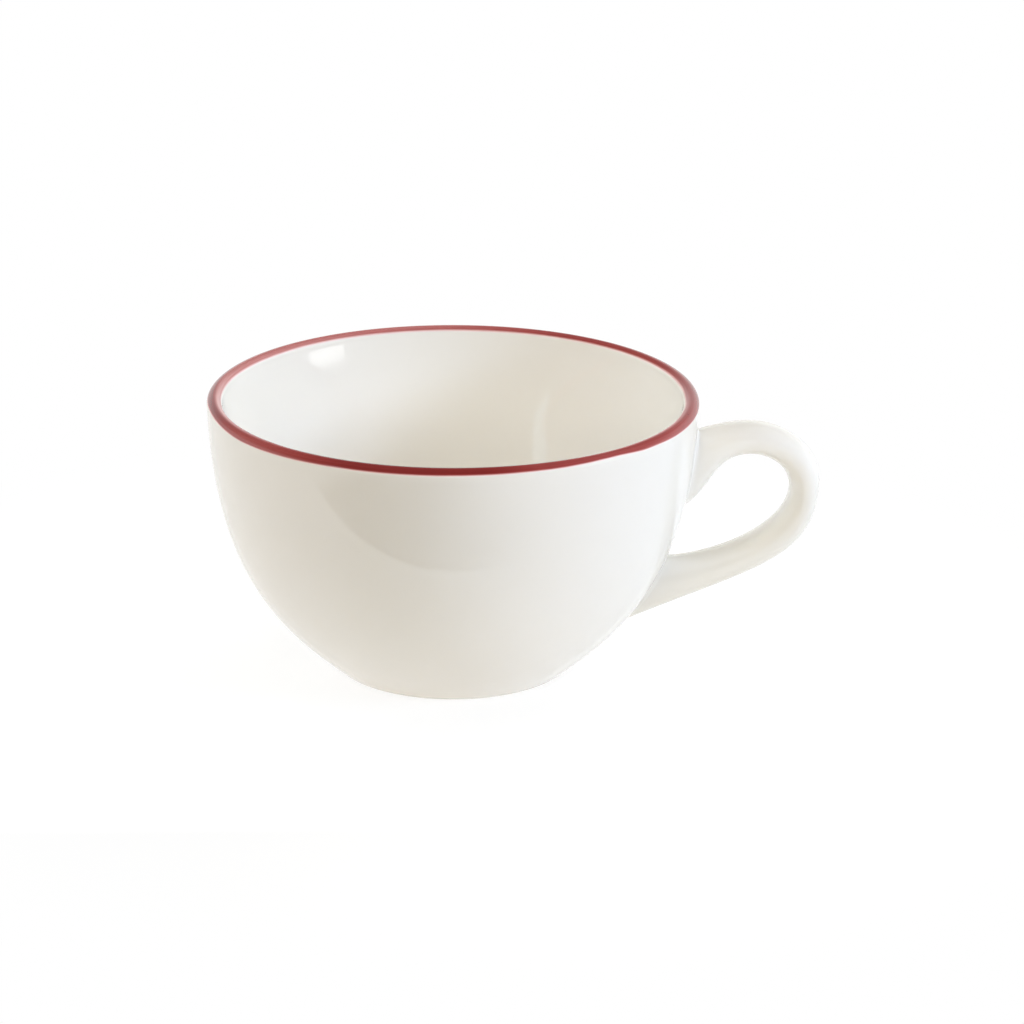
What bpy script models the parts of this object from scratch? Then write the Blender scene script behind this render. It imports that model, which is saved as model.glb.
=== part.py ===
"""A porcelain coffee cup with a red band on its lip, in metres, +Z up.

The cup stands on z = 0 with its handle towards +X. The origin is the middle of the whole cup's footprint,
handle included, and the empty cup_axis marks the bowl's own axis. Outlines are drawn as (radius, height)
from that axis.
"""

import math
from collections import namedtuple

import bmesh
import bpy
from mathutils import Vector
from mathutils.geometry import interpolate_bezier

# Bowl
RIM_RADIUS = 0.0525
CUP_HEIGHT = 0.0602
LIP_THICKNESS = 0.0034
WALL = 0.0074  # the wall's full thickness, and how far below the lip it is reached
WALL_TAPER = 0.044
LIP_LEAN = math.radians(2)  # the wall's lean from upright, at the lip and at the foot
FOOT_LEAN = math.radians(51)
UPPER_FULLNESS = 0.0318  # how far the wall keeps the lean it has at the lip, and at the foot
LOWER_FULLNESS = 0.021
FOOT_RADIUS = 0.0259
FOOT_ROUNDING = 0.0015
FOOT_RING_WIDTH = 0.003
FOOT_RECESS = 0.0015
FLOOR_THICKNESS = 0.005
HEEL_HEIGHT = 0.016  # where the inside stops following the wall and rounds into the floor
HEEL_FULLNESS = 0.009
FLOOR_FULLNESS = 0.018

# Red band on the lip, between two angles measured from straight out over the top of the lip
BAND_THICKNESS = 0.0006
BAND_OUTER_ANGLE = math.radians(17)
BAND_INNER_ANGLE = math.radians(140)

# Handle
HANDLE_WIDTH = 0.0115
HANDLE_THICKNESS = 0.0064
HANDLE_REACH = 0.0265  # how far the handle stands out beyond the lip
CREST_OUT = 0.0114  # the handle's highest point: its distance beyond the lip and below the top of the lip
CREST_DROP = 0.0072
KNUCKLE_DROP = 0.0202  # the handle's outermost point, below the top of the lip
HOLE_SAG = 0.002  # how much lower the finger hole is widest
UPPER_ROOT_DROP = 0.009  # from the top of the lip to the upper root
UPPER_ROOT_DEPTH = 0.0168
LOWER_ROOT_RISE = 0.007  # from the table to the lower root
LOWER_ROOT_DEPTH = 0.0155
SECTION_SQUARENESS = 2.3  # 2 makes the handle's section an ellipse, more makes it squarer

# Slopes of the handle's outlines at the upper and the lower root
OUTER_ROOT_SLOPES = (math.radians(15), math.radians(24.5))
INNER_ROOT_SLOPES = (math.radians(35), math.radians(-4))

# Lengths over which each outline keeps its slope: after the upper root, before and after the crest,
# before and after the knuckle, before the lower root
OUTER_PULLS = (0.0024, 0.0056, 0.0065, 0.0082, 0.0183, 0.033)
INNER_PULLS = (0.0086, 0.0083, 0.0024, 0.0068, 0.009, 0.011)

# Slip joints
SLIP_THICKNESS = 0.001
SLIP_BEAD = 0.0008  # how far the slip is squeezed out round the handle's root
SEAT_GAP = 0.0003  # between pieces that touch

# Facets
TURNED_STEPS = 60
WALL_STEPS = 13
LIP_STEPS = 3  # on each side of the lip's top
FLOOR_STEPS = 7
ROUNDING_STEPS = 3
SECTION_STEPS = 20
OUTLINE_STEPS = (9, 9, 13)  # root to crest, crest to knuckle, knuckle to root
STUB_STATIONS = 5  # stations of the handle that reach past a slip joint
SHARP_ANGLE = math.radians(40)
MERGE_DISTANCE = 0.00001
HALVINGS = 20  # of the wall's length, in finding a height on it

# Finishes
WHITE = (0.83, 0.81, 0.76)
RED = (0.30, 0.035, 0.03)
GLAZED = 0.12

# Derived
LIP_RADIUS = LIP_THICKNESS / 2
LIP_CENTRE = Vector((RIM_RADIUS - LIP_RADIUS, CUP_HEIGHT - LIP_RADIUS))
BAND_SEAT_RADIUS = LIP_RADIUS - BAND_THICKNESS - SEAT_GAP
AXIS_X = -HANDLE_REACH / 2

Knot = namedtuple("Knot", "point direction before after")


def steps(count, start, end):
    return [start + (end - start) * i / count for i in range(count + 1)]


def polar(angle, length):
    return Vector((length * math.cos(angle), length * math.sin(angle)))


def lip_arc(radius, start, end):
    """An arc of the lip from one side over its top to the other."""
    angles = steps(LIP_STEPS, start, math.pi / 2) + steps(LIP_STEPS, math.pi / 2, end)[1:]
    return [LIP_CENTRE + polar(angle, radius) for angle in angles]


# Outer wall: one Bezier curve from the lip down to the rounding of the foot

FOOT_TANGENT = FOOT_ROUNDING * math.tan((math.pi / 2 - FOOT_LEAN) / 2)
FOOT_UP = Vector((math.sin(FOOT_LEAN), math.cos(FOOT_LEAN)))
LIP_DOWN = -Vector((math.sin(LIP_LEAN), math.cos(LIP_LEAN)))
WALL_TOP = LIP_CENTRE + polar(-LIP_LEAN, LIP_RADIUS)
WALL_END = Vector((FOOT_RADIUS, 0)) + FOOT_TANGENT * FOOT_UP
WALL_CURVE = (WALL_TOP, WALL_TOP + UPPER_FULLNESS * LIP_DOWN, WALL_END + LOWER_FULLNESS * FOOT_UP, WALL_END)


def wall_point(t, offset):
    """The outer wall at t, 0 at the lip and 1 at the foot, moved outwards by offset."""
    a, b, c, d = WALL_CURVE
    s = 1 - t
    point = s**3 * a + 3 * s**2 * t * b + 3 * s * t**2 * c + t**3 * d
    along = s**2 * (b - a) + 2 * s * t * (c - b) + t**2 * (d - c)
    along.normalize()
    return point + offset * Vector((-along.y, along.x))


def outer_point(t):
    return wall_point(t, 0)


def inner_point(t):
    """The inside of the wall, opposite the outer wall at t."""
    depth = min((WALL_TOP.y - outer_point(t).y) / WALL_TAPER, 1)
    thickness = WALL - (WALL - LIP_THICKNESS) * (1 - depth) ** 2
    return wall_point(t, -thickness)


def find_height(curve, height):
    """The t at which a curve that runs down the wall is at this height."""
    upper, lower = 0.0, 1.0
    for _ in range(HALVINGS):
        middle = (upper + lower) / 2
        if curve(middle).y > height:
            upper = middle
        else:
            lower = middle
    return upper


def root_on_wall(height):
    return outer_point(find_height(outer_point, height))


def outer_profile():
    """The wall from under the band down to the standing ring, and the recess inside that ring."""
    wall = [outer_point(t) for t in steps(WALL_STEPS, 0, 1)]
    ring_edge = Vector((FOOT_RADIUS - FOOT_TANGENT, 0))
    centre = ring_edge + Vector((0, FOOT_ROUNDING))
    angles = steps(ROUNDING_STEPS, -FOOT_LEAN, -math.pi / 2)
    rounding = [centre + polar(angle, FOOT_ROUNDING) for angle in angles]
    recess_edge = ring_edge - Vector((FOOT_RING_WIDTH, 0))
    recess = [recess_edge, recess_edge + Vector((-FOOT_RECESS, FOOT_RECESS)), Vector((0, FOOT_RECESS))]
    return wall + rounding[1:] + recess


def inner_profile():
    """The inside from the middle of the floor up to the lip: it follows the wall above the heel."""
    wall = [inner_point(t) for t in steps(WALL_STEPS, 0, find_height(inner_point, HEEL_HEIGHT))]
    down = (wall[-1] - wall[-2]).normalized()
    floor = Vector((0, FOOT_RECESS + FLOOR_THICKNESS))
    heel = interpolate_bezier(
        wall[-1],
        wall[-1] + HEEL_FULLNESS * down,
        floor + Vector((FLOOR_FULLNESS, 0)),
        floor,
        FLOOR_STEPS + 1,
    )
    return list(reversed(wall + heel[1:]))


def lip_profile():
    """The lip from the inside over the top to the outside, let in where the band lies."""
    gap_angle = SEAT_GAP / LIP_RADIUS
    inner_step = BAND_INNER_ANGLE + gap_angle
    outer_step = BAND_OUTER_ANGLE - gap_angle
    seat = lip_arc(BAND_SEAT_RADIUS, inner_step, outer_step)
    inner_corner = LIP_CENTRE + polar(inner_step, LIP_RADIUS)
    outer_corner = LIP_CENTRE + polar(outer_step, LIP_RADIUS)
    return [inner_corner] + seat + [outer_corner]


# Handle: an oval section swept between an outer outline and the outline of the finger hole


def outline_points(knots):
    points = [knots[0].point]
    for first, second, count in zip(knots, knots[1:], OUTLINE_STEPS):
        start_pull = first.point + first.after * first.direction
        end_pull = second.point - second.before * second.direction
        points += interpolate_bezier(first.point, start_pull, end_pull, second.point, count + 1)[1:]
    return [Vector(point) for point in points]


def handle_outline(top_root, crest, knuckle, low_root, slopes, pulls):
    upper_slope, lower_slope = slopes
    root_after, crest_before, crest_after, knuckle_before, knuckle_after, root_before = pulls
    return outline_points(
        [
            Knot(root_on_wall(top_root), polar(upper_slope, 1), 0, root_after),
            Knot(crest, Vector((1, 0)), crest_before, crest_after),
            Knot(knuckle, Vector((0, -1)), knuckle_before, knuckle_after),
            Knot(root_on_wall(low_root), -polar(lower_slope, 1), root_before, 0),
        ]
    )


def handle_stations():
    """Pairs of matching points on the outer outline and on the finger hole's."""
    crest = Vector((RIM_RADIUS + CREST_OUT, CUP_HEIGHT - CREST_DROP))
    knuckle = Vector((RIM_RADIUS + HANDLE_REACH, CUP_HEIGHT - KNUCKLE_DROP))
    upper_root = CUP_HEIGHT - UPPER_ROOT_DROP
    outer = handle_outline(upper_root, crest, knuckle, LOWER_ROOT_RISE, OUTER_ROOT_SLOPES, OUTER_PULLS)
    inner = handle_outline(
        upper_root - UPPER_ROOT_DEPTH,
        crest - Vector((0, HANDLE_THICKNESS)),
        knuckle - Vector((HANDLE_THICKNESS, HOLE_SAG)),
        LOWER_ROOT_RISE + LOWER_ROOT_DEPTH,
        INNER_ROOT_SLOPES,
        INNER_PULLS,
    )
    return list(zip(outer, inner))


def superellipse(angle):
    power = 2 / SECTION_SQUARENESS
    across, depth = math.cos(angle), math.sin(angle)
    return math.copysign(abs(across) ** power, across), math.copysign(abs(depth) ** power, depth)


def section_ring(station, margin, inward):
    """The handle's section at a station, grown by margin all round and moved towards the axis by inward."""
    outer, inner = station
    middle = (outer + inner) / 2
    half_depth = (outer - inner) / 2
    half_depth += margin * half_depth.normalized()
    half_width = HANDLE_WIDTH / 2 + margin
    ring = []
    for i in range(SECTION_STEPS):
        across, depth = superellipse(2 * math.pi * i / SECTION_STEPS)
        place = middle + depth * half_depth
        ring.append((place.x - inward, across * half_width, place.y))
    return ring


def rings_from_wall(stations, margin):
    """Rings outwards from a root, the first one sunk into the wall so that it can be cut to fit."""
    rings = [section_ring(station, margin, 0) for station in stations]
    return [section_ring(stations[0], margin, WALL / 2)] + rings


# Objects


def new_object(name, mesh, collection, parent):
    obj = bpy.data.objects.new(name, mesh)
    obj.parent = parent
    collection.objects.link(obj)
    return obj


def turned(name, profile, closed, collection, parent):
    """A profile of (radius, height) points, turned round the axis."""
    last = len(profile) if closed else len(profile) - 1
    edges = [(i, (i + 1) % len(profile)) for i in range(last)]
    mesh = bpy.data.meshes.new(name)
    mesh.from_pydata([(point.x, 0, point.y) for point in profile], edges, [])
    obj = new_object(name, mesh, collection, parent)
    screw = obj.modifiers.new("turn", "SCREW")
    screw.axis = "Z"
    screw.steps = TURNED_STEPS
    screw.render_steps = TURNED_STEPS
    screw.use_merge_vertices = True
    screw.merge_threshold = MERGE_DISTANCE
    screw.use_smooth_shade = True
    return obj


def lofted(name, rings, collection, parent):
    """A closed skin over a row of rings, with flat ends."""
    skin = bmesh.new()
    loops = [[skin.verts.new(place) for place in ring] for ring in rings]
    for first, second in zip(loops, loops[1:]):
        for i in range(len(first)):
            j = (i + 1) % len(first)
            skin.faces.new((first[i], first[j], second[j], second[i]))
    skin.faces.new(loops[0])
    skin.faces.new(loops[-1])
    bmesh.ops.recalc_face_normals(skin, faces=skin.faces)
    mesh = bpy.data.meshes.new(name)
    skin.to_mesh(mesh)
    skin.free()
    mesh.shade_smooth()
    mesh.set_sharp_from_angle(angle=SHARP_ANGLE)
    return new_object(name, mesh, collection, parent)


def wall_cutter(name, offset, collection, parent):
    """Everything inside the outer wall, moved outwards by offset."""
    wall = [wall_point(t, offset) for t in steps(WALL_STEPS, 0, 1)]
    profile = [Vector((0, wall[0].y))] + wall + [Vector((0, wall[-1].y))]
    cutter = turned(name, profile, False, collection, parent)
    cutter.hide_render = True
    cutter.display_type = "WIRE"
    return cutter


def cut(obj, operation, cutter):
    boolean = obj.modifiers.new(operation.lower(), "BOOLEAN")
    boolean.operation = operation
    boolean.solver = "EXACT"
    boolean.object = cutter


def finish(obj, colour, roughness):
    material = bpy.data.materials.new(obj.name + "_finish")
    material.use_nodes = True
    shader = material.node_tree.nodes["Principled BSDF"]
    shader.inputs["Base Color"].default_value = (*colour, 1)
    shader.inputs["Roughness"].default_value = roughness
    shader.inputs["Metallic"].default_value = 0
    obj.data.materials.append(material)


def new_collection(name):
    collection = bpy.data.collections.new(name)
    bpy.context.scene.collection.children.link(collection)
    return collection


def main():
    for obj in list(bpy.data.objects):
        bpy.data.objects.remove(obj)
    cup = new_collection("coffee_cup")
    cutters = new_collection("cutters")
    axis = new_object("cup_axis", None, cup, None)
    axis.location.x = AXIS_X

    bowl = turned("bowl", inner_profile() + lip_profile() + outer_profile(), False, cup, axis)
    finish(bowl, WHITE, GLAZED)

    band = lip_arc(LIP_RADIUS, BAND_INNER_ANGLE, BAND_OUTER_ANGLE)
    band += lip_arc(LIP_RADIUS - BAND_THICKNESS, BAND_OUTER_ANGLE, BAND_INNER_ANGLE)
    finish(turned("rim_band", band, True, cup, axis), RED, GLAZED)

    slip_inside = wall_cutter("slip_inside", SEAT_GAP, cutters, axis)
    slip_outside = wall_cutter("slip_outside", SEAT_GAP + SLIP_THICKNESS, cutters, axis)
    handle_seat = wall_cutter("handle_seat", 2 * SEAT_GAP + SLIP_THICKNESS, cutters, axis)

    stations = handle_stations()
    sunk_end = section_ring(stations[-1], 0, WALL / 2)
    handle = lofted("handle", rings_from_wall(stations, 0) + [sunk_end], cup, axis)
    cut(handle, "DIFFERENCE", handle_seat)
    finish(handle, WHITE, GLAZED)

    stubs = {
        "upper_slip_joint": stations[:STUB_STATIONS],
        "lower_slip_joint": list(reversed(stations[-STUB_STATIONS:])),
    }
    for name, stub in stubs.items():
        slip = lofted(name, rings_from_wall(stub, SLIP_BEAD), cup, axis)
        cut(slip, "INTERSECT", slip_outside)
        cut(slip, "DIFFERENCE", slip_inside)
        finish(slip, WHITE, GLAZED)


main()
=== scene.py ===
import math

import bpy
import numpy as np
from mathutils import Matrix, Quaternion, Vector, noise


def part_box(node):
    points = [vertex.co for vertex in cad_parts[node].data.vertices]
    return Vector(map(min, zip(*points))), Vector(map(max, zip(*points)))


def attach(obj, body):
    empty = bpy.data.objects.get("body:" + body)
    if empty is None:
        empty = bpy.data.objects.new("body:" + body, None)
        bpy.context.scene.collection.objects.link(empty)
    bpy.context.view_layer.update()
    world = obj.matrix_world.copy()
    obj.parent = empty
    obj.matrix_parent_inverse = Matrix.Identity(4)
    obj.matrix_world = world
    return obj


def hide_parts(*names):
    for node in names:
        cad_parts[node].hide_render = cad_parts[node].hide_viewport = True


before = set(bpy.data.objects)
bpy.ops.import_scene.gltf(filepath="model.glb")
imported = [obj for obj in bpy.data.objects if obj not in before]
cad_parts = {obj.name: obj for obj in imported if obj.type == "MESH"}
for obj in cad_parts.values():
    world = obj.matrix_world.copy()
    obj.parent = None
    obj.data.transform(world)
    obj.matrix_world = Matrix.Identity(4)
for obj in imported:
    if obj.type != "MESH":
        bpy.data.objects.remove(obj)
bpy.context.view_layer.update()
bpy.context.scene.view_settings.view_transform = "Standard"
print("frame loaded with", len(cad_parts), "nodes")

# overall sizes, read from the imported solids
bowlLow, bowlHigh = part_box("bowl")
axisX = (bowlLow.x + bowlHigh.x) / 2
rimRadius = (bowlHigh.y - bowlLow.y) / 2
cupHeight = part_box("rim_band")[1].z
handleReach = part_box("handle")[1].x - bowlHigh.x


def spread(start, end, count):  # even steps, both ends included
    return [start + (end - start) * i / count for i in range(count + 1)]


def polar(angle, length):
    return Vector((length * math.cos(angle), length * math.sin(angle)))


def smooth(low, high, value):  # eased from 0 at low to 1 at high
    t = min(max((value - low) / (high - low), 0), 1)
    return t * t * (3 - 2 * t)


def bezier(a, b, c, d, t):
    s = 1 - t
    return s**3 * a + 3 * s**2 * t * b + 3 * s * t**2 * c + t**3 * d


# clay never fires quite true: everything moves towards the axis by up to the swell, and the lip sags
# at one place
firing = {
    "swell": 0.00003,
    "swellSize": 0.045,
    "stillRadius": 0.005,  # nothing swells this near the axis
    "sag": 0.00025,
    "sagMiddle": -35,  # bearing from the handle, in degrees
    "sagReach": 50,
    "sagPower": 3,  # how fast it dies away below the lip
}


def fired(co):
    place = Vector((co[0] - axisX, co[1], co[2]))
    turned = math.degrees(math.atan2(place.y, place.x)) - firing["sagMiddle"]
    away = abs((turned + 180) % 360 - 180)
    height = (place.z / cupHeight) ** firing["sagPower"]
    sag = firing["sag"] * (1 - smooth(0, firing["sagReach"], away)) * height
    swell = (noise.noise(place / firing["swellSize"]) - 1) / 2 * firing["swell"]
    out = Vector((place.x, place.y, 0))
    out = out.normalized() if out.length > firing["stillRadius"] else Vector()
    return place + out * swell + Vector((axisX, 0, -sag))


def addPiece(name, verts, faces, materials, node):
    mesh = bpy.data.meshes.new(name)
    mesh.from_pydata([fired(co) for co in verts], [], faces)
    mesh.validate()
    mesh.shade_smooth()
    for material in materials:
        mesh.materials.append(material)
    piece = bpy.data.objects.new(name, mesh)
    bpy.context.scene.collection.objects.link(piece)
    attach(piece, "root")
    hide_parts(node)
    print("made", name, "with", len(faces), "faces")
    return piece


def setPointValues(piece, name, values):
    layer = piece.data.attributes.new(name, "FLOAT", "POINT")
    layer.data.foreach_set("value", np.array(values, np.float32))


# rows run round a ring of the given size: the edges along these places in each ring stay sharp
def markSharp(piece, size, places):
    sharp = piece.data.attributes.new("sharp_edge", "BOOLEAN", "EDGE")
    for edge in piece.data.edges:
        a, b = edge.vertices
        sharp.data[edge.index].value = a % size == b % size and a % size in places


def addNode(tree, kind, values=None, **settings):
    node = tree.nodes.new(kind)
    for key, value in settings.items():
        setattr(node, key, value)
    for key, value in (values or {}).items():
        node.inputs[key].default_value = value
    return node


def link(tree, source, output, target, socket):
    tree.links.new(source.outputs[output], target.inputs[socket])


def addRange(tree, start, end, low=0, high=1, **settings):
    values = {"From Min": start, "From Max": end, "To Min": low, "To Max": high}
    return addNode(tree, "ShaderNodeMapRange", values, **settings)


def newGroup(name, inputs, outputs):
    group = bpy.data.node_groups.new(name, "ShaderNodeTree")
    for label, kind, value in inputs:
        socket = group.interface.new_socket(label, in_out="INPUT", socket_type=kind)
        socket.default_value = value
    for label, kind in outputs:
        group.interface.new_socket(label, in_out="OUTPUT", socket_type=kind)
    return group, group.nodes.new("NodeGroupInput"), group.nodes.new("NodeGroupOutput")


def newMaterial(name, settings):
    material = bpy.data.materials.new(name)
    material.use_nodes = True
    shader = material.node_tree.nodes["Principled BSDF"]
    shader.inputs["IOR"].default_value = settings["ior"]
    return material, material.node_tree, shader


# the skin of a fired glaze: slow ripples, a faint uneven tone, and a deeper tone where it pooled, the
# same deeper tone also serving as painted shade
glazeTexture = {
    "ripple": {"Scale": 95, "Detail": 1.5, "Roughness": 0.35},
    "cloud": {"Scale": 42, "Detail": 3, "Roughness": 0.55},
    "cloudRange": (0.35, 0.7),
    "smear": {"Scale": 170, "Detail": 4, "Roughness": 0.6},
    "smearRange": (0.45, 0.75),
}


def makeGlazeSkin():
    group, given, made = newGroup(
        "glazeSkin",
        [
            ("Colour", "NodeSocketColor", (0.8, 0.8, 0.8, 1)),
            ("Pooled Colour", "NodeSocketColor", (0.7, 0.7, 0.7, 1)),
            ("Pool", "NodeSocketFloat", 0),
            ("Mottle", "NodeSocketFloat", 0.1),
            ("Roughness", "NodeSocketFloat", 0.06),
            ("Smear", "NodeSocketFloat", 0.03),
        ],
        [
            ("Colour", "NodeSocketColor"),
            ("Roughness", "NodeSocketFloat"),
            ("Height", "NodeSocketFloat"),
        ],
    )
    place = addNode(group, "ShaderNodeTexCoord")
    ripple = addNode(group, "ShaderNodeTexNoise", glazeTexture["ripple"])
    cloud = addNode(group, "ShaderNodeTexNoise", glazeTexture["cloud"])
    smear = addNode(group, "ShaderNodeTexNoise", glazeTexture["smear"])
    for texture in (ripple, cloud, smear):
        link(group, place, "Object", texture, "Vector")

    cloudShare = addRange(group, *glazeTexture["cloudRange"])
    mottle = addNode(group, "ShaderNodeMath", operation="MULTIPLY")
    pool = addNode(group, "ShaderNodeMath", operation="ADD", use_clamp=True)
    tone = addNode(group, "ShaderNodeMix", data_type="RGBA")
    link(group, cloud, "Fac", cloudShare, "Value")
    link(group, cloudShare, "Result", mottle, 0)
    link(group, given, "Mottle", mottle, 1)
    link(group, mottle, "Value", pool, 0)
    link(group, given, "Pool", pool, 1)
    link(group, pool, "Value", tone, "Factor")
    link(group, given, "Colour", tone, "A")
    link(group, given, "Pooled Colour", tone, "B")

    smearShare = addRange(group, *glazeTexture["smearRange"])
    rough = addNode(group, "ShaderNodeMath", operation="MULTIPLY_ADD")
    link(group, smear, "Fac", smearShare, "Value")
    link(group, smearShare, "Result", rough, 0)
    link(group, given, "Smear", rough, 1)
    link(group, given, "Roughness", rough, 2)

    link(group, tone, "Result", made, "Colour")
    link(group, rough, "Value", made, "Roughness")
    link(group, ripple, "Fac", made, "Height")
    return group


glazeSkin = makeGlazeSkin()


def useSkin(tree, shader, skinSettings, rippleHeight):
    skin = addNode(tree, "ShaderNodeGroup", node_tree=glazeSkin)
    for key, value in skinSettings.items():
        skin.inputs[key].default_value = value
    bump = addNode(tree, "ShaderNodeBump", {"Distance": rippleHeight, "Strength": 1})
    link(tree, skin, "Roughness", shader, "Roughness")
    link(tree, skin, "Height", bump, "Height")
    link(tree, bump, "Normal", shader, "Normal")
    return skin


whiteGlaze = {
    "ior": 1.6,
    "ripple": 0.000012,
    "skin": {
        "Colour": (0.845, 0.825, 0.785, 1),
        # also the colour of the painted shade on the handle's lower arm
        "Pooled Colour": (0.80, 0.775, 0.72, 1),
        "Mottle": 0.16,
        "Roughness": 0.04,
        "Smear": 0.02,
    },
    "jointMottle": 0.1,  # added where the glaze gathers round the handle's ends
}


def makeWhiteGlaze(name, extraMottle):
    material, tree, shader = newMaterial(name, whiteGlaze)
    skin = useSkin(tree, shader, whiteGlaze["skin"], whiteGlaze["ripple"])
    skin.inputs["Mottle"].default_value += extraMottle
    pool = addNode(tree, "ShaderNodeAttribute", attribute_name="pool")
    link(tree, pool, "Fac", skin, "Pool")
    link(tree, skin, "Colour", shader, "Base Color")
    return material


redGlaze = {
    "ior": 1.55,
    "ripple": 0.00002,
    "sheer": 0.65,  # how far the white body shows through where it is thin
    "thinAndPaintedLightnest": 0.06,
    "streaks": 0.2,
    "streakNoise": {"Scale": 1, "Detail": 3, "Roughness": 0.6},
    "streakRange": (0.45, 0.8),
    "speck": (0.035, 0.006, 0.006, 1),
    "speckCells": {"Scale": 420, "Randomness": 1},
    "speckSize": (0.05, 0.10),  # a speck fades out between these distances from its middle, in cells
    "speckless": 0.9,  # share of the cells without one
    "skin": {
        "Colour": (0.215, 0.019, 0.017, 1),
        "Pooled Colour": (0.13, 0.010, 0.010, 1),
        "Mottle": 0.35,
        "Roughness": 0.04,
        "Smear": 0.04,
    },
}


# brushed colour: thin at both edges, streaked along the stroke, with a few burnt specks; its thinness
# also paints light, paler where the key lamp falls and deeper in shade
def makeRedGlaze():
    material, tree, shader = newMaterial("redGlaze", redGlaze)
    skin = useSkin(tree, shader, redGlaze["skin"], redGlaze["ripple"])
    thinAndPaintedLight = addNode(tree, "ShaderNodeAttribute", attribute_name="thinAndPaintedLight")
    around = addNode(tree, "ShaderNodeAttribute", attribute_name="around")
    across = addNode(tree, "ShaderNodeAttribute", attribute_name="across")
    stroke = addNode(tree, "ShaderNodeCombineXYZ")
    streaks = addNode(tree, "ShaderNodeTexNoise", redGlaze["streakNoise"])
    share = addRange(tree, *redGlaze["streakRange"], high=redGlaze["streaks"])
    fade = addNode(tree, "ShaderNodeMath", operation="ADD")
    depth = addRange(tree, 0, 1, 1, 1 - redGlaze["sheer"], clamp=False)
    leastDepth = addNode(tree, "ShaderNodeMath", operation="MAXIMUM")
    leastDepth.inputs[1].default_value = redGlaze["thinAndPaintedLightnest"]
    tone = addNode(tree, "ShaderNodeGamma")  # a glaze half as deep shows the root of its colour
    link(tree, around, "Fac", stroke, "X")
    link(tree, across, "Fac", stroke, "Y")
    link(tree, stroke, "Vector", streaks, "Vector")
    link(tree, streaks, "Fac", share, "Value")
    link(tree, share, "Result", fade, 0)
    link(tree, thinAndPaintedLight, "Fac", fade, 1)
    link(tree, fade, "Value", depth, "Value")
    link(tree, depth, "Result", leastDepth, 0)
    link(tree, leastDepth, "Value", tone, "Gamma")
    link(tree, skin, "Colour", tone, "Color")

    place = addNode(tree, "ShaderNodeTexCoord")
    cells = addNode(tree, "ShaderNodeTexVoronoi", redGlaze["speckCells"])
    spot = addRange(tree, *redGlaze["speckSize"], 1, 0)
    few = addNode(tree, "ShaderNodeMath", operation="GREATER_THAN")
    few.inputs[1].default_value = redGlaze["speckless"]
    pick = addNode(tree, "ShaderNodeSeparateColor")
    speck = addNode(tree, "ShaderNodeMath", operation="MULTIPLY")
    burnt = addNode(tree, "ShaderNodeMix", {"B": redGlaze["speck"]}, data_type="RGBA")
    link(tree, place, "Object", cells, "Vector")
    link(tree, cells, "Distance", spot, "Value")
    link(tree, cells, "Color", pick, "Color")
    link(tree, pick, "Red", few, 0)
    link(tree, spot, "Result", speck, 0)
    link(tree, few, "Value", speck, 1)
    link(tree, speck, "Value", burnt, "Factor")
    link(tree, tone, "Color", burnt, "A")
    link(tree, burnt, "Result", shader, "Base Color")
    return material


bareClay = {
    "ior": 1.45,
    "colour": (0.80, 0.77, 0.70, 1),
    "worn": (0.62, 0.59, 0.54, 1),
    "roughness": (0.9, 0.65),  # as fired, and where it is worn
    "grain": 0.00004,
    "grainNoise": {"Scale": 2600, "Detail": 3, "Roughness": 0.6},
    "rubNoise": {"Scale": 160, "Detail": 5, "Roughness": 0.65},
    "rubRange": (0.45, 0.7),
    "rubShare": 0.6,
}


# unglazed clay on the foot ring: dry, grainy and rubbed grey by the table
def makeBareClay():
    material, tree, shader = newMaterial("bareClay", bareClay)
    place = addNode(tree, "ShaderNodeTexCoord")
    grain = addNode(tree, "ShaderNodeTexNoise", bareClay["grainNoise"])
    rub = addNode(tree, "ShaderNodeTexNoise", bareClay["rubNoise"])
    rubbed = addRange(tree, *bareClay["rubRange"], high=bareClay["rubShare"])
    tones = {"A": bareClay["colour"], "B": bareClay["worn"]}
    tone = addNode(tree, "ShaderNodeMix", tones, data_type="RGBA")
    rough = addRange(tree, 0, 1, *bareClay["roughness"])
    bump = addNode(tree, "ShaderNodeBump", {"Distance": bareClay["grain"], "Strength": 1})
    for texture in (grain, rub):
        link(tree, place, "Object", texture, "Vector")
    link(tree, rub, "Fac", rubbed, "Value")
    link(tree, rubbed, "Result", tone, "Factor")
    link(tree, rubbed, "Result", rough, "Value")
    link(tree, rough, "Result", shader, "Roughness")
    link(tree, grain, "Fac", bump, "Height")
    link(tree, bump, "Normal", shader, "Normal")
    link(tree, tone, "Result", shader, "Base Color")
    return material


porcelain = makeWhiteGlaze("whiteGlaze", 0)
pooledPorcelain = makeWhiteGlaze("pooledGlaze", whiteGlaze["jointMottle"])
red = makeRedGlaze()
clay = makeBareClay()
print("finishes ready")

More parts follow.
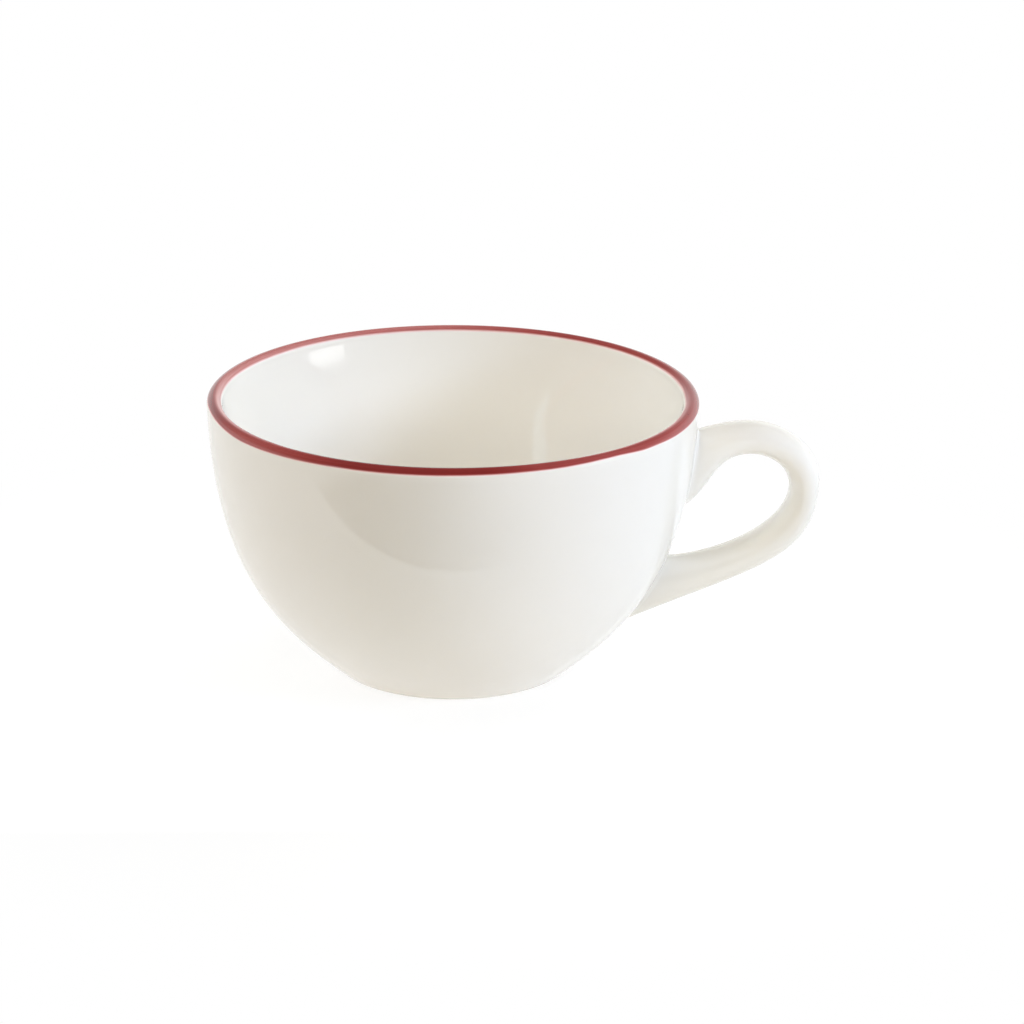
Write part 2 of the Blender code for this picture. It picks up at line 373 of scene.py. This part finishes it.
# bowl: outlines are (radius, height) from the cup's axis
bowl = {
    "lipThickness": 0.0034,
    "wall": 0.0074,
    "wallTaper": 0.044,  # how far below the lip the wall is at its full thickness
    "lipLean": math.radians(2),
    "footLean": math.radians(51),
    "upperFullness": 0.0318,
    "lowerFullness": 0.021,
    "footRadius": 0.0259,
    "footRounding": 0.0015,
    "ringWidth": 0.003,
    "recess": 0.0015,
    "recessRounding": 0.0009,
    "recessFullness": 0.6,  # how far its rounding pulls into the corner
    "floorThickness": 0.005,
    "heelHeight": 0.016,  # the inside follows the wall above this, and rounds into the floor below it
    "heelFullness": 0.009,
    "floorFullness": 0.018,
    "glazeRoll": 0.00009,  # the glaze ends in a small roll above the bare ring
    "glazeRollSize": 0.0005,
    # how much the glaze pools, most of all round the inside floor: from the second height down to the
    # first, and from the first radius out to the second
    "heelPool": 0.55,
    "heelPoolHeights": (0.008, 0.020),
    "heelPoolRadii": (0.004, 0.020),
    "recessPool": 0.5,
    "undersidePool": 0.1,
    "segments": 256,
    "wallSteps": 72,
    "lipSteps": 30,
    "floorSteps": 36,
    "footSteps": 10,
}
band = {
    # the brush goes once round the lip, from one side of the seam to the other. Each place has its
    # bearing from the handle, then the band's outer and inner edges, turned up from straight out, all
    # in degrees, and how thin it is outside and inside. The thinness is partly painted light: thinner
    # and paler where the key lamp lights the lip, deeper where shade falls on it
    "stroke": [
        (-42, 20, 108, 0.45, 0.8),
        (-28, 13, 110, 0.5, 0.8),
        (-14, 11, 125, 0.4, 0.5),
        (0, 12, 142, 0.35, 0.45),
        (50, 16, 145, 0.6, 0.4),
        (105, 17, 143, 0.75, 0.8),
        (145, 17, 145, 0.7, 0.9),
        (190, 34, 143, 0.05, 1),
        (215, 10, 142, 0.55, 0.65),
        (250, 20, 141, 0.1, 0.12),
        (275, 22, 138, 0, 0.05),
        (290, 26, 118, 0.35, 0.5),
        (308, 36, 107, 0.45, 0.8),
    ],
    "turnIn": (math.radians(80), math.radians(110)),  # its thinness changes from outside to inside here
    "relief": 0.00004,
    "easeOut": 0.004,  # the wall below it takes up its relief over this length
    "easeIn": (math.radians(150), math.radians(176)),  # and the lip between these turns
    "seat": 0.0004,  # depth of its hidden underside
    "waver": math.radians(1.6),
    "brushWaves": [(2.3, 1), (7, 0.5), (19, 0.3)],  # how close the waves are, and how high
    "outerSeed": 3,
    "innerSeed": 11,
    "streaksAcross": 6,
    "edgeThinness": 1.45,
    "outerEdge": (0.0005, 0.00024),  # width over which it thins out, and how far past the stroke
    "innerEdge": (0.0009, 0.0004),
    "segments": 512,
    "steps": 36,
}

lipRadius = bowl["lipThickness"] / 2
lipCentre = Vector((rimRadius - lipRadius, cupHeight - lipRadius))
footTangent = bowl["footRounding"] * math.tan((math.pi / 2 - bowl["footLean"]) / 2)
footUp = Vector((math.sin(bowl["footLean"]), math.cos(bowl["footLean"])))
lipDown = -Vector((math.sin(bowl["lipLean"]), math.cos(bowl["lipLean"])))
wallTop = lipCentre + polar(-bowl["lipLean"], lipRadius)
wallEnd = Vector((bowl["footRadius"], 0)) + footTangent * footUp
wallPulls = (wallTop + bowl["upperFullness"] * lipDown, wallEnd + bowl["lowerFullness"] * footUp)
halvings = 24  # steps in the search for a height on a curve


def wallPoint(t, offset=0):
    b, c = wallPulls
    s = 1 - t
    along = s**2 * (b - wallTop) + 2 * s * t * (c - b) + t**2 * (wallEnd - c)
    along.normalize()
    return bezier(wallTop, b, c, wallEnd, t) + offset * Vector((-along.y, along.x))


def innerPoint(t):
    depth = min((wallTop.y - wallPoint(t).y) / bowl["wallTaper"], 1)
    thickness = bowl["wall"] - (bowl["wall"] - bowl["lipThickness"]) * (1 - depth) ** 2
    return wallPoint(t, -thickness)


def findHeight(curve, height):
    upper, lower = 0.0, 1.0
    for _ in range(halvings):
        middle = (upper + lower) / 2
        if curve(middle).y > height:
            upper = middle
        else:
            lower = middle
    return upper


# each stretch is a list of (radius, height), how pooled its glaze is, and whether it is bare clay
def insideStretch():
    last = findHeight(innerPoint, bowl["heelHeight"])
    wall = [innerPoint(t) for t in spread(0, last, bowl["wallSteps"])]
    down = (wall[-1] - wall[-2]).normalized()
    middle = Vector((0, bowl["recess"] + bowl["floorThickness"]))
    heelPull = wall[-1] + bowl["heelFullness"] * down
    floorPull = middle + Vector((bowl["floorFullness"], 0))
    floorSteps = spread(0, 1, bowl["floorSteps"])[1:]
    heel = [bezier(wall[-1], heelPull, floorPull, middle, t) for t in floorSteps]
    points = []
    for point in reversed(wall + heel):
        low = 1 - smooth(*bowl["heelPoolHeights"], point.y)
        pool = bowl["heelPool"] * low * smooth(*bowl["heelPoolRadii"], point.x)
        points.append((point, pool, 0))
    return points


# the lip and the wall give way under the band, so that it hardly stands proud
def lipStretch():
    points = []
    for turn in spread(math.pi - bowl["lipLean"], -bowl["lipLean"], bowl["lipSteps"])[1:-1]:
        sink = band["relief"] * (1 - smooth(*band["easeIn"], turn))
        points.append((lipCentre + polar(turn, lipRadius - sink), 0, 0))
    return points


def outsideStretch():
    points = []
    for t in spread(0, 1, bowl["wallSteps"]):
        fromRoll = (wallPoint(t) - wallEnd).length / bowl["glazeRollSize"]
        roll = bowl["glazeRoll"] * math.exp(-fromRoll * fromRoll)
        sink = band["relief"] * (1 - smooth(0, band["easeOut"], wallTop.y - wallPoint(t).y))
        points.append((wallPoint(t, roll - sink), 0, 0))
    return points


def footStretch():
    ringEdge = Vector((bowl["footRadius"] - footTangent, 0))
    centre = ringEdge + Vector((0, bowl["footRounding"]))
    turn = spread(-bowl["footLean"], -math.pi / 2, bowl["footSteps"])[1:]
    ring = [centre + polar(angle, bowl["footRounding"]) for angle in turn]
    innerEdge = ringEdge - Vector((bowl["ringWidth"], 0))
    ring += [ringEdge.lerp(innerEdge, share) for share in spread(0, 1, bowl["footSteps"])[1:]]
    # glazed again from the ring's inner edge, up into the recess and across the underside
    slope = Vector((-bowl["recess"], bowl["recess"]))
    corner = innerEdge + slope
    rounding = bowl["recessRounding"]
    start = corner - slope.normalized() * rounding
    end = corner - Vector((rounding, 0))
    startPull = start.lerp(corner, bowl["recessFullness"])
    endPull = end.lerp(corner, bowl["recessFullness"])
    bend = [bezier(start, startPull, endPull, end, t) for t in spread(0, 1, bowl["footSteps"])]
    middle = Vector((0, corner.y))
    underside = [end.lerp(middle, share) for share in spread(0, 1, bowl["footSteps"])[1:]]
    points = [(point, 0, 1) for point in ring]
    points += [(point, bowl["recessPool"], 0) for point in bend]
    points += [(point, bowl["undersidePool"], 0) for point in underside]
    return points


def makeBowl():
    outline = insideStretch() + lipStretch() + outsideStretch() + footStretch()
    turns = bowl["segments"]
    verts = [(axisX, 0, outline[0][0].y)]
    poolAndShadeValues = [outline[0][1]]
    rings = outline[1:-1]
    for point, pool, _ in rings:
        for i in range(turns):
            angle = 2 * math.pi * i / turns
            verts.append((axisX + point.x * math.cos(angle), point.x * math.sin(angle), point.y))
            poolAndShadeValues.append(pool)
    verts.append((axisX, 0, outline[-1][0].y))
    poolAndShadeValues.append(outline[-1][1])
    faces, bare = [], []
    last = len(verts) - 1
    for i in range(turns):
        j = (i + 1) % turns
        faces.append((0, 1 + i, 1 + j))
        bare.append(0)
        for k in range(len(rings) - 1):
            a, b = 1 + k * turns, 1 + (k + 1) * turns
            faces.append((a + i, b + i, b + j, a + j))
            bare.append(int(rings[k][2] and rings[k + 1][2]))
        a = 1 + (len(rings) - 1) * turns
        faces.append((a + i, last, a + j))
        bare.append(0)
    piece = addPiece("bowl_glazed", verts, faces, [porcelain, clay], "bowl")
    piece.data.polygons.foreach_set("material_index", bare)
    setPointValues(piece, "pool", poolAndShadeValues)


makeBowl()


# a slow wander of the brush, the same at both ends of the turn
def brushWander(angle, seed):
    place = Vector((math.cos(angle), math.sin(angle), seed))
    return sum(height * noise.noise(place * scale) for scale, height in band["brushWaves"])


# edges and thinness of the stroke at a bearing, eased from place to place
def strokeAt(bearing):
    stroke = band["stroke"]
    first = stroke[0]
    stops = stroke + [(first[0] + 360,) + first[1:]]
    bearing = (bearing - first[0]) % 360 + first[0]
    for before, after in zip(stops, stops[1:]):
        if bearing <= after[0]:
            share = smooth(before[0], after[0], bearing)
            return [a + share * (b - a) for a, b in zip(before[1:], after[1:])]


def makeBand():
    turns, steps = band["segments"], band["steps"]
    (outerWidth, outerBleed), (innerWidth, innerBleed) = band["outerEdge"], band["innerEdge"]
    verts, thinAndPaintedLight, across, around = [], [], [], []
    for i in range(turns):
        angle = 2 * math.pi * i / turns
        outer, inner, thinOutsideAndLight, thinInsideAndLight = strokeAt(math.degrees(angle))
        start = math.radians(outer) - outerBleed / lipRadius
        start += band["waver"] * brushWander(angle, band["outerSeed"])
        end = math.radians(inner) + innerBleed / lipRadius
        end += band["waver"] * brushWander(angle, band["innerSeed"])
        length = (end - start) * lipRadius
        ring = []
        for share in spread(0, 1, steps):
            edge = min(share * length / outerWidth, (1 - share) * length / innerWidth, 1)
            height = band["relief"] * math.sqrt(edge * (2 - edge))
            turn = start + share * (end - start)
            ring.append((turn, lipRadius - band["relief"] + height))
            # painted light: by bearing, the band is thinner and paler where the key lamp falls on it and
            # deeper where shade falls
            thinnessAndLight = thinOutsideAndLight + (thinInsideAndLight - thinOutsideAndLight) * smooth(*band["turnIn"], turn)
            thinAndPaintedLight.append(max(band["edgeThinness"] * (1 - edge * edge), thinnessAndLight))
            across.append(share * band["streaksAcross"])
            around.append(angle)
        for share in (1, 0):
            ring.append((start + share * (end - start), lipRadius - band["seat"]))
            thinAndPaintedLight.append(0)
            across.append(share * band["streaksAcross"])
            around.append(angle)
        for turn, radius in ring:
            point = lipCentre + polar(turn, radius)
            verts.append((axisX + point.x * math.cos(angle), point.x * math.sin(angle), point.y))
    size = steps + 3
    faces = []
    for i in range(turns):
        j = (i + 1) % turns
        for k in range(size):
            m = (k + 1) % size
            faces.append((i * size + k, j * size + k, j * size + m, i * size + m))
    piece = addPiece("rim_band_painted", verts, faces, [red], "rim_band")
    setPointValues(piece, "thinAndPaintedLight", thinAndPaintedLight)
    setPointValues(piece, "across", across)
    setPointValues(piece, "around", around)
    markSharp(piece, size, [steps, steps + 1, steps + 2, 0])


makeBand()

# handle: an oval section swept between its outer outline and the outline of the finger hole
handle = {
    "width": 0.0115,
    "thickness": 0.0064,
    "crestOut": 0.0114,  # highest point, beyond the lip and below its top
    "crestDrop": 0.0072,
    "knuckleDrop": 0.0202,  # outermost point, below the top of the lip
    "holeSag": 0.002,
    "upperRoot": (0.009, 0.0168),  # drop from the top of the lip, and depth along the wall
    "lowerRoot": (0.007, 0.0155),  # rise from the table, and depth along the wall
    "squareness": 2.3,
    "outerSlopes": (math.radians(15), math.radians(24.5)),
    "innerSlopes": (math.radians(35), math.radians(-4)),
    # lengths over which each outline keeps its slope, from the upper root to the lower
    "outerPulls": (0.0024, 0.0056, 0.0065, 0.0082, 0.0183, 0.033),
    "innerPulls": (0.0086, 0.0083, 0.0024, 0.0068, 0.009, 0.011),
    "steps": (44, 44, 64),
    "sectionSteps": 72,
    "sink": 0.002,  # how deep its ends reach into the wall
    # painted shade: from the second height down to the first the glaze is deepened towards its pooled
    # colour, but not on the side of the hole
    "pool": 0.9,
    "poolHeights": (0.032, 0.047),
    "poolSide": (-0.95, -0.2),  # from the hole's side, at -1, to the outer side, at 1
}
joint = {
    "reach": 0.0013,  # of the fillet, up the handle and out over the wall
    "depth": 0.0006,
    "pool": 0.4,
    "steps": 24,
    "wallSamples": 600,
    "handleRings": 26,  # how many of the handle's rings it is looked for on
}


def rootOnWall(height):
    return wallPoint(findHeight(wallPoint, height))


def handleOutline(roots, crest, knuckle, slopes, pulls):
    knots = [
        (rootOnWall(roots[0]), polar(slopes[0], 1), 0, pulls[0]),
        (crest, Vector((1, 0)), pulls[1], pulls[2]),
        (knuckle, Vector((0, -1)), pulls[3], pulls[4]),
        (rootOnWall(roots[1]), -polar(slopes[1], 1), pulls[5], 0),
    ]
    points = [knots[0][0]]
    for first, second, count in zip(knots, knots[1:], handle["steps"]):
        start, end = first[0], second[0]
        pullA = start + first[3] * first[1]
        pullB = end - second[2] * second[1]
        points += [bezier(start, pullA, pullB, end, t) for t in spread(0, 1, count)[1:]]
    return points


def handleStations():
    crest = Vector((rimRadius + handle["crestOut"], cupHeight - handle["crestDrop"]))
    knuckle = Vector((rimRadius + handleReach, cupHeight - handle["knuckleDrop"]))
    upper = cupHeight - handle["upperRoot"][0]
    lower = handle["lowerRoot"][0]
    outer = handleOutline((upper, lower), crest, knuckle, handle["outerSlopes"], handle["outerPulls"])
    inner = handleOutline(
        (upper - handle["upperRoot"][1], lower + handle["lowerRoot"][1]),
        crest - Vector((0, handle["thickness"])),
        knuckle - Vector((handle["thickness"], handle["holeSag"])),
        handle["innerSlopes"],
        handle["innerPulls"],
    )
    return list(zip(outer, inner))


def sectionRing(station, inward=0):
    outer, inner = station
    middle, half = (outer + inner) / 2, (outer - inner) / 2
    power = 2 / handle["squareness"]
    ring = []
    for i in range(handle["sectionSteps"]):
        angle = 2 * math.pi * i / handle["sectionSteps"]
        c, s = math.cos(angle), math.sin(angle)
        place = middle + math.copysign(abs(s) ** power, s) * half
        side = math.copysign(abs(c) ** power, c) * handle["width"] / 2
        ring.append(Vector((axisX + place.x - inward, side, place.y)))
    return ring


def ringFaces(rings, size, closed):
    faces = []
    for k in range(rings if closed else rings - 1):
        a, b = k * size, (k + 1) % rings * size
        for i in range(size):
            j = (i + 1) % size
            faces.append((a + i, a + j, b + j, b + i))
    return faces


stations = handleStations()
handleRings = [sectionRing(stations[0], handle["sink"])]
handleRings += [sectionRing(station) for station in stations]
handleRings += [sectionRing(stations[-1], handle["sink"])]


def makeHandle():
    size = handle["sectionSteps"]
    verts = [co for ring in handleRings for co in ring]
    faces = ringFaces(len(handleRings), size, False)
    faces.append(tuple(reversed(range(size))))
    faces.append(tuple(range(len(verts) - size, len(verts))))
    piece = addPiece("handle_glazed", verts, faces, [porcelain], "handle")
    # painted shade on the lower arm, away from the side of the hole
    poolAndShadeValues = []
    for i, co in enumerate(verts):
        side = smooth(*handle["poolSide"], math.sin(2 * math.pi * (i % size) / size))
        poolAndShadeValues.append(handle["pool"] * side * (1 - smooth(*handle["poolHeights"], co.z)))
    setPointValues(piece, "pool", poolAndShadeValues)


makeHandle()

wallSamples = [wallPoint(t) for t in spread(0, 1, joint["wallSamples"])]
wallRadii = np.array([p.x for p in wallSamples])
wallHeights = np.array([p.y for p in wallSamples])


# nearest place on the outer wall, the way straight out of it there, and how far out the point is
def nearestOnWall(co):
    out = Vector((co.x - axisX, co.y, 0))
    radius = out.length
    out.normalize()
    k = int(np.argmin((wallRadii - radius) ** 2 + (wallHeights - co.z) ** 2))
    k = min(max(k, 1), len(wallSamples) - 2)
    along = (wallSamples[k + 1] - wallSamples[k - 1]).normalized()
    normal = out * -along.y + Vector((0, 0, along.x))
    base = Vector((axisX, 0, 0)) + out * wallSamples[k].x + Vector((0, 0, wallSamples[k].y))
    away = (co - base).dot(normal)
    return co - away * normal, normal, away


# where one line of the handle's skin, followed out of the wall, first stands this far off it
def skinAt(skinLine, distance):
    previous, before = skinLine[0], nearestOnWall(skinLine[0])[2]
    for co in skinLine[1:]:
        away = nearestOnWall(co)[2]
        if away >= distance:
            return previous.lerp(co, (distance - before) / (away - before))
        previous, before = co, away
    return previous


def makeJoint(name, node, rings):
    size, steps = handle["sectionSteps"], joint["steps"]
    lines = [[ring[i] for ring in rings] for i in range(size)]
    roots = [skinAt(line, 0) for line in lines]
    tops = [skinAt(line, joint["reach"]) for line in lines]
    middle = sum(roots, Vector()) / size
    verts, poolAndShadeValues = [], []
    for i in range(size):
        root, top = roots[i], tops[i]
        normal = nearestOnWall(root)[1]
        along = roots[(i + 1) % size] - roots[i - 1]
        out = along.cross(normal).normalized()
        if out.dot(root - middle) < 0:
            out = -out
        foot, footNormal, _ = nearestOnWall(root + out * joint["reach"])
        for t in spread(0, 1, steps):
            verts.append(top * (1 - t) ** 2 + root * 2 * t * (1 - t) + foot * t * t)
            poolAndShadeValues.append(joint["pool"] * math.sin(math.pi * t))
        verts.append(foot - footNormal * joint["depth"])
        verts.append(top + (middle - root).normalized() * joint["depth"])
        poolAndShadeValues += [0, 0]
    faces = ringFaces(size, steps + 3, True)
    piece = addPiece(name, verts, faces, [pooledPorcelain], node)
    setPointValues(piece, "pool", poolAndShadeValues)
    markSharp(piece, steps + 3, [0, steps, steps + 1, steps + 2])


rootRings = joint["handleRings"]
makeJoint("upper_joint_fillet", "upper_slip_joint", handleRings[:rootRings])
makeJoint("lower_joint_fillet", "lower_slip_joint", handleRings[:-rootRings:-1])

# camera, at the photograph's viewing angle: the middle of the mouth lands on the given pixel
camera = {
    "target": Vector((axisX, 0, lipCentre.y)),
    "pixel": (453.2, 399.4),
    "imageSize": 1024,
    "distance": 0.698,
    "azimuth": math.radians(-1),
    "elevation": math.radians(17.5),
    "lens": 114.94,
    "sensor": 36,
}


def wayTo(turn, lift):  # turned from the camera's side, right positive, and lifted from the table
    return Vector((math.sin(turn) * math.cos(lift), -math.cos(turn) * math.cos(lift), math.sin(lift)))


def makeCamera():
    data = bpy.data.cameras.new("camera")
    data.lens = camera["lens"]
    data.sensor_width = camera["sensor"]
    turn = camera["azimuth"]
    back = wayTo(turn, camera["elevation"])
    right = Vector((math.cos(turn), math.sin(turn), 0))
    centre = camera["imageSize"] / 2
    focal = camera["lens"] / camera["sensor"] * camera["imageSize"]
    column, row = camera["pixel"]
    sight = Vector(((column - centre) / focal, (centre - row) / focal, -1))
    aim = Vector((0, 0, -1)).rotation_difference(sight).to_matrix()
    axes = aim @ Matrix((right, back.cross(right), back))
    obj = bpy.data.objects.new("camera", data)
    place = Matrix.Translation(camera["target"] + camera["distance"] * back)
    obj.matrix_world = place @ axes.transposed().to_4x4()
    bpy.context.scene.collection.objects.link(obj)
    bpy.context.scene.camera = obj


makeCamera()
print("camera placed")

# studio: each lamp's place is its turn from the camera's side and its lift, in degrees, and its distance
lampAim = 0.7  # share of the cup's height
lampCentre = Vector((axisX, 0, cupHeight * lampAim))
lamps = {
    "key": {"place": (69, 18, 1.3), "size": (0.5, 0.3), "colour": (0.66, 0.78, 1), "power": 10.1},
    "overhead": {"place": (0, 88, 1.3), "size": (1.2, 1.2), "colour": (1, 0.95, 0.89), "power": 9.1},
    "front": {"place": (-10, 27, 1.4), "size": (1.2, 0.8), "colour": (1, 0.93, 0.79), "power": 8},
    "left": {"place": (-95, 20, 1.3), "size": (0.9, 0.7), "colour": (1, 0.93, 0.93), "power": 4.1},
    "backLeft": {"place": (-140, 25, 1.4), "size": (1, 0.6), "colour": (0.88, 1, 1), "power": 7.3},
    "backRight": {"place": (135, 25, 1.4), "size": (1, 0.6), "colour": (1, 0.97, 0.8), "power": 8.5},
    # these two also show in the glaze, as a window and a tall stripe
    "sill": {"place": (67.5, 3.8, 1.5), "size": (0.55, 0.094), "roll": -7,
             "power": 0.45, "mirrored": True},
    "strip": {"place": (-55.5, 19.5, 1.5), "size": (0.22, 0.5), "roll": 27, "colour": (0.55, 0.82, 1),
              "power": 0.4, "mirrored": True},
}


def makeLamp(name, lamp):
    data = bpy.data.lights.new(name, "AREA")
    data.shape = "RECTANGLE"
    data.size, data.size_y = lamp["size"]
    data.energy = lamp["power"]
    data.color = lamp.get("colour", (1, 1, 1))
    turn, lift, distance = lamp["place"]
    out = wayTo(math.radians(turn), math.radians(lift))
    obj = bpy.data.objects.new(name, data)
    obj.location = lampCentre + out * distance
    facing = out.to_track_quat("Z", "Y") @ Quaternion((0, 0, 1), math.radians(lamp.get("roll", 0)))
    obj.rotation_euler = facing.to_euler()
    obj.visible_camera = False
    obj.visible_glossy = lamp.get("mirrored", False)
    bpy.context.scene.collection.objects.link(obj)


for lampName, lampSettings in lamps.items():
    makeLamp(lampName, lampSettings)

studio = {
    "ambient": (1, 0.93, 0.82, 1),
    "ambientStrength": 0.002,
    "domeRise": (0.16, 0.6),  # the white backdrop darkens between these heights on the sky
    "domeTop": 0.15,
    "floorSize": 6,
    "floorColour": (0.845, 0.835, 0.815, 1),
    # painted light: the floor's glow, which lights the cup's foot from below
    "floorGlow": (1, 0.9, 0.71, 1),
    "glowNear": (0.03, 0.23),  # distance from the cup's axis, and strength of the glow there
    "glowFar": (0.055, 0.085),
    "floorWhite": 0.82,  # share of the floor's white that no shadow darkens
    "floorShade": 0.22,
    "shadowFade": (0.07, 0.16),  # the shadow fades out between these distances from the cup's axis
}


# 1 for what the camera sees directly, in a reflection or through glass, and 0 for light on the cup
def seenRay(tree):
    rays = addNode(tree, "ShaderNodeLightPath")
    first = addNode(tree, "ShaderNodeMath", operation="MAXIMUM")
    second = addNode(tree, "ShaderNodeMath", operation="MAXIMUM")
    link(tree, rays, "Is Camera Ray", first, 0)
    link(tree, rays, "Is Glossy Ray", first, 1)
    link(tree, rays, "Is Transmission Ray", second, 1)
    link(tree, first, "Value", second, 0)
    return second


def makeWorld():
    world = bpy.data.worlds.new("studio")
    world.use_nodes = True
    bpy.context.scene.world = world
    tree = world.node_tree
    ambient = tree.nodes["Background"]
    ambient.inputs["Color"].default_value = studio["ambient"]
    ambient.inputs["Strength"].default_value = studio["ambientStrength"]
    white = addNode(tree, "ShaderNodeBackground", {"Strength": 1})
    way = addNode(tree, "ShaderNodeTexCoord")
    rise = addNode(tree, "ShaderNodeSeparateXYZ")
    dome = addRange(tree, *studio["domeRise"], 1, studio["domeTop"], interpolation_type="SMOOTHSTEP")
    link(tree, way, "Generated", rise, "Vector")
    link(tree, rise, "Z", dome, "Value")
    link(tree, dome, "Result", white, "Color")
    mix = addNode(tree, "ShaderNodeMixShader")
    link(tree, seenRay(tree), "Value", mix, 0)
    link(tree, ambient, 0, mix, 1)
    link(tree, white, 0, mix, 2)
    link(tree, mix, 0, tree.nodes["World Output"], "Surface")


def newStageTree(name, mesh):
    material = bpy.data.materials.new(name)
    material.use_nodes = True
    mesh.materials.append(material)
    tree = material.node_tree
    tree.nodes.remove(tree.nodes["Principled BSDF"])
    return tree


def makeFloor():
    half = studio["floorSize"] / 2
    mesh = bpy.data.meshes.new("floor")
    corners = [(-half, -half, 0), (half, -half, 0), (half, half, 0), (-half, half, 0)]
    mesh.from_pydata(corners, [], [(0, 1, 2, 3)])
    floor = bpy.data.objects.new("floor", mesh)
    floor.location.x = axisX
    bpy.context.scene.collection.objects.link(floor)
    tree = newStageTree("paleFloor", mesh)
    paper = addNode(tree, "ShaderNodeBsdfDiffuse", {"Color": studio["floorColour"]})
    # painted light: for the light that reaches the cup, the floor glows warm, most strongly round the
    # foot; the camera and reflections see the white floor instead
    glowing = addNode(tree, "ShaderNodeEmission", {"Color": studio["floorGlow"]})
    (near, nearGlow), (far, farGlow) = studio["glowNear"], studio["glowFar"]
    glowStrength = addRange(tree, near, far, nearGlow, farGlow, interpolation_type="SMOOTHSTEP")
    table = addNode(tree, "ShaderNodeAddShader")
    shade = studio["floorShade"]
    shadow = addNode(tree, "ShaderNodeBsdfDiffuse", {"Color": (shade, shade, shade, 1)})
    glow = addNode(tree, "ShaderNodeEmission", {"Strength": studio["floorWhite"]})
    shaded = addNode(tree, "ShaderNodeAddShader")
    white = addNode(tree, "ShaderNodeEmission", {"Strength": 1})
    place = addNode(tree, "ShaderNodeTexCoord")
    radius = addNode(tree, "ShaderNodeVectorMath", operation="LENGTH")
    fade = addRange(tree, *studio["shadowFade"], interpolation_type="SMOOTHSTEP")
    seen = addNode(tree, "ShaderNodeMixShader")
    final = addNode(tree, "ShaderNodeMixShader")
    link(tree, place, "Object", radius, 0)
    link(tree, radius, "Value", fade, "Value")
    link(tree, radius, "Value", glowStrength, "Value")
    link(tree, glowStrength, "Result", glowing, "Strength")
    link(tree, glow, 0, shaded, 0)
    link(tree, shadow, 0, shaded, 1)
    link(tree, fade, "Result", seen, 0)
    link(tree, shaded, 0, seen, 1)
    link(tree, white, 0, seen, 2)
    link(tree, seenRay(tree), "Value", final, 0)
    link(tree, paper, 0, table, 0)
    link(tree, glowing, 0, table, 1)
    link(tree, table, 0, final, 1)
    link(tree, seen, 0, final, 2)
    link(tree, final, 0, tree.nodes["Material Output"], "Surface")


# a dark card lies in front of the cup, out of sight: only its reflection shows
card = {
    "left": -0.165,  # from the cup's axis
    "right": 0.09,
    "near": 0.09,
    "far": 0.32,
    "lift": 0.0004,
    "rightFade": 0.14,  # widths over which its ends fade into the floor
    "leftFade": 0.05,
    "colour": (0.10, 0.075, 0.05, 1),
}


def makeCard():
    left, right = axisX + card["left"], axisX + card["right"]
    front, back = -card["far"], -card["near"]
    corners = [(left, front), (right, front), (right, back), (left, back)]
    mesh = bpy.data.meshes.new("card")
    mesh.from_pydata([(x, y, card["lift"]) for x, y in corners], [], [(0, 1, 2, 3)])
    obj = bpy.data.objects.new("card", mesh)
    obj.visible_camera = False
    obj.visible_shadow = False
    bpy.context.scene.collection.objects.link(obj)
    tree = newStageTree("darkCard", mesh)
    cloth = addNode(tree, "ShaderNodeBsdfDiffuse", {"Color": card["colour"]})
    clear = addNode(tree, "ShaderNodeBsdfTransparent")
    place = addNode(tree, "ShaderNodeTexCoord")
    split = addNode(tree, "ShaderNodeSeparateXYZ")
    fade = addNode(tree, "ShaderNodeMath", operation="MAXIMUM")
    link(tree, place, "Object", split, "Vector")
    ends = [(right - card["rightFade"], right), (left + card["leftFade"], left)]
    for socket, (solid, gone) in enumerate(ends):
        end = addRange(tree, solid, gone, interpolation_type="SMOOTHSTEP")
        link(tree, split, "X", end, "Value")
        link(tree, end, "Result", fade, socket)
    mix = addNode(tree, "ShaderNodeMixShader")
    link(tree, fade, "Value", mix, 0)
    link(tree, cloth, 0, mix, 1)
    link(tree, clear, 0, mix, 2)
    link(tree, mix, 0, tree.nodes["Material Output"], "Surface")


makeWorld()
makeFloor()
makeCard()
print("studio lit by", len(lamps), "lamps")
